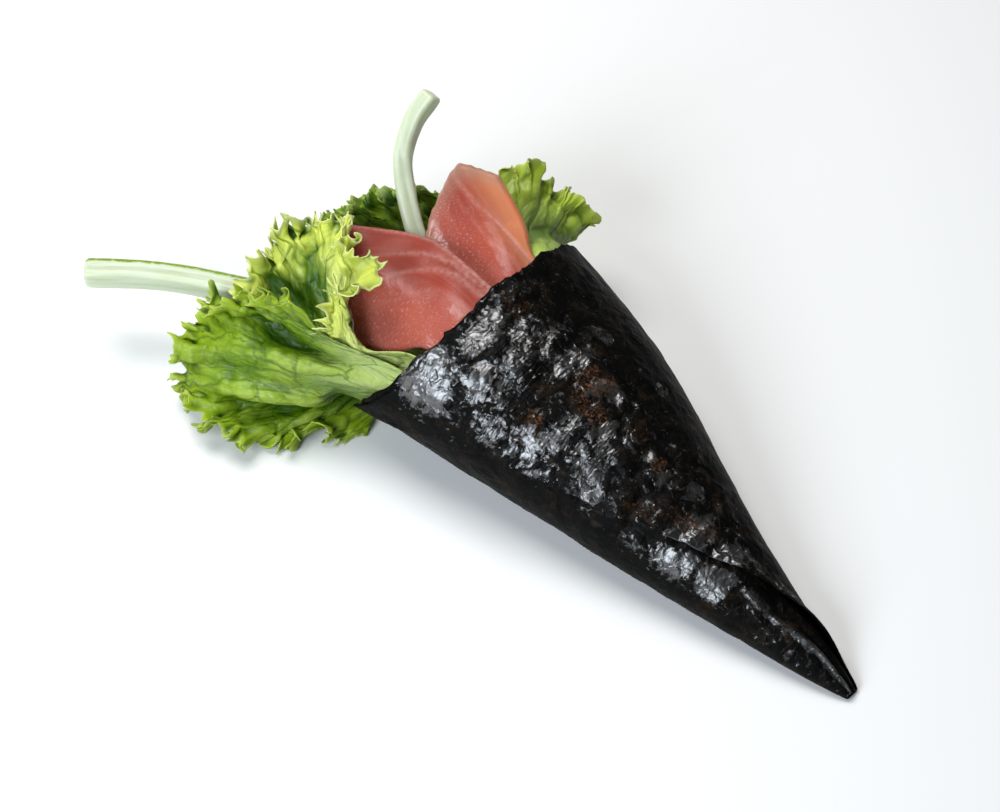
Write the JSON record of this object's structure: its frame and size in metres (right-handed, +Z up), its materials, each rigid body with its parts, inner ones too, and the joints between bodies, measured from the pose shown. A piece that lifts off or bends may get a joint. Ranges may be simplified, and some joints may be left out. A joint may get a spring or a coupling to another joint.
{
  "type": "temaki hand roll",
  "caption": "Cone of roasted seaweed lying on its side, filled with ruffled lettuce, slices of raw tuna and cucumber sticks that stand out of its mouth.",
  "frame": {"origin": "on the floor, under the middle of the bounding box", "axes": "+X along the roll towards the closed tip, +Z up, and -Y towards the side that carries the loose edge of the nori and the front leaf"},
  "size_m": [0.1894, 0.0972, 0.0577],
  "materials": {
    "nori": "glossy, crinkled",
    "lettuce": "waxy, wet",
    "lettuce_pale": "waxy, wet",
    "lettuce_dark": "waxy, wet",
    "tuna": "moist",
    "cucumber": "moist"
  },
  "bodies": {
    "root": {"nori_sheet": "nori", "lettuce_leaf_front": "lettuce", "lettuce_leaf_middle": "lettuce_pale", "lettuce_leaf_back": "lettuce", "lettuce_leaf_inner": "lettuce_dark", "tuna_slice_front": "tuna", "tuna_slice_back": "tuna", "cucumber_stick_left": "cucumber", "cucumber_stick_top": "cucumber"}
  },
  "joints": []
}
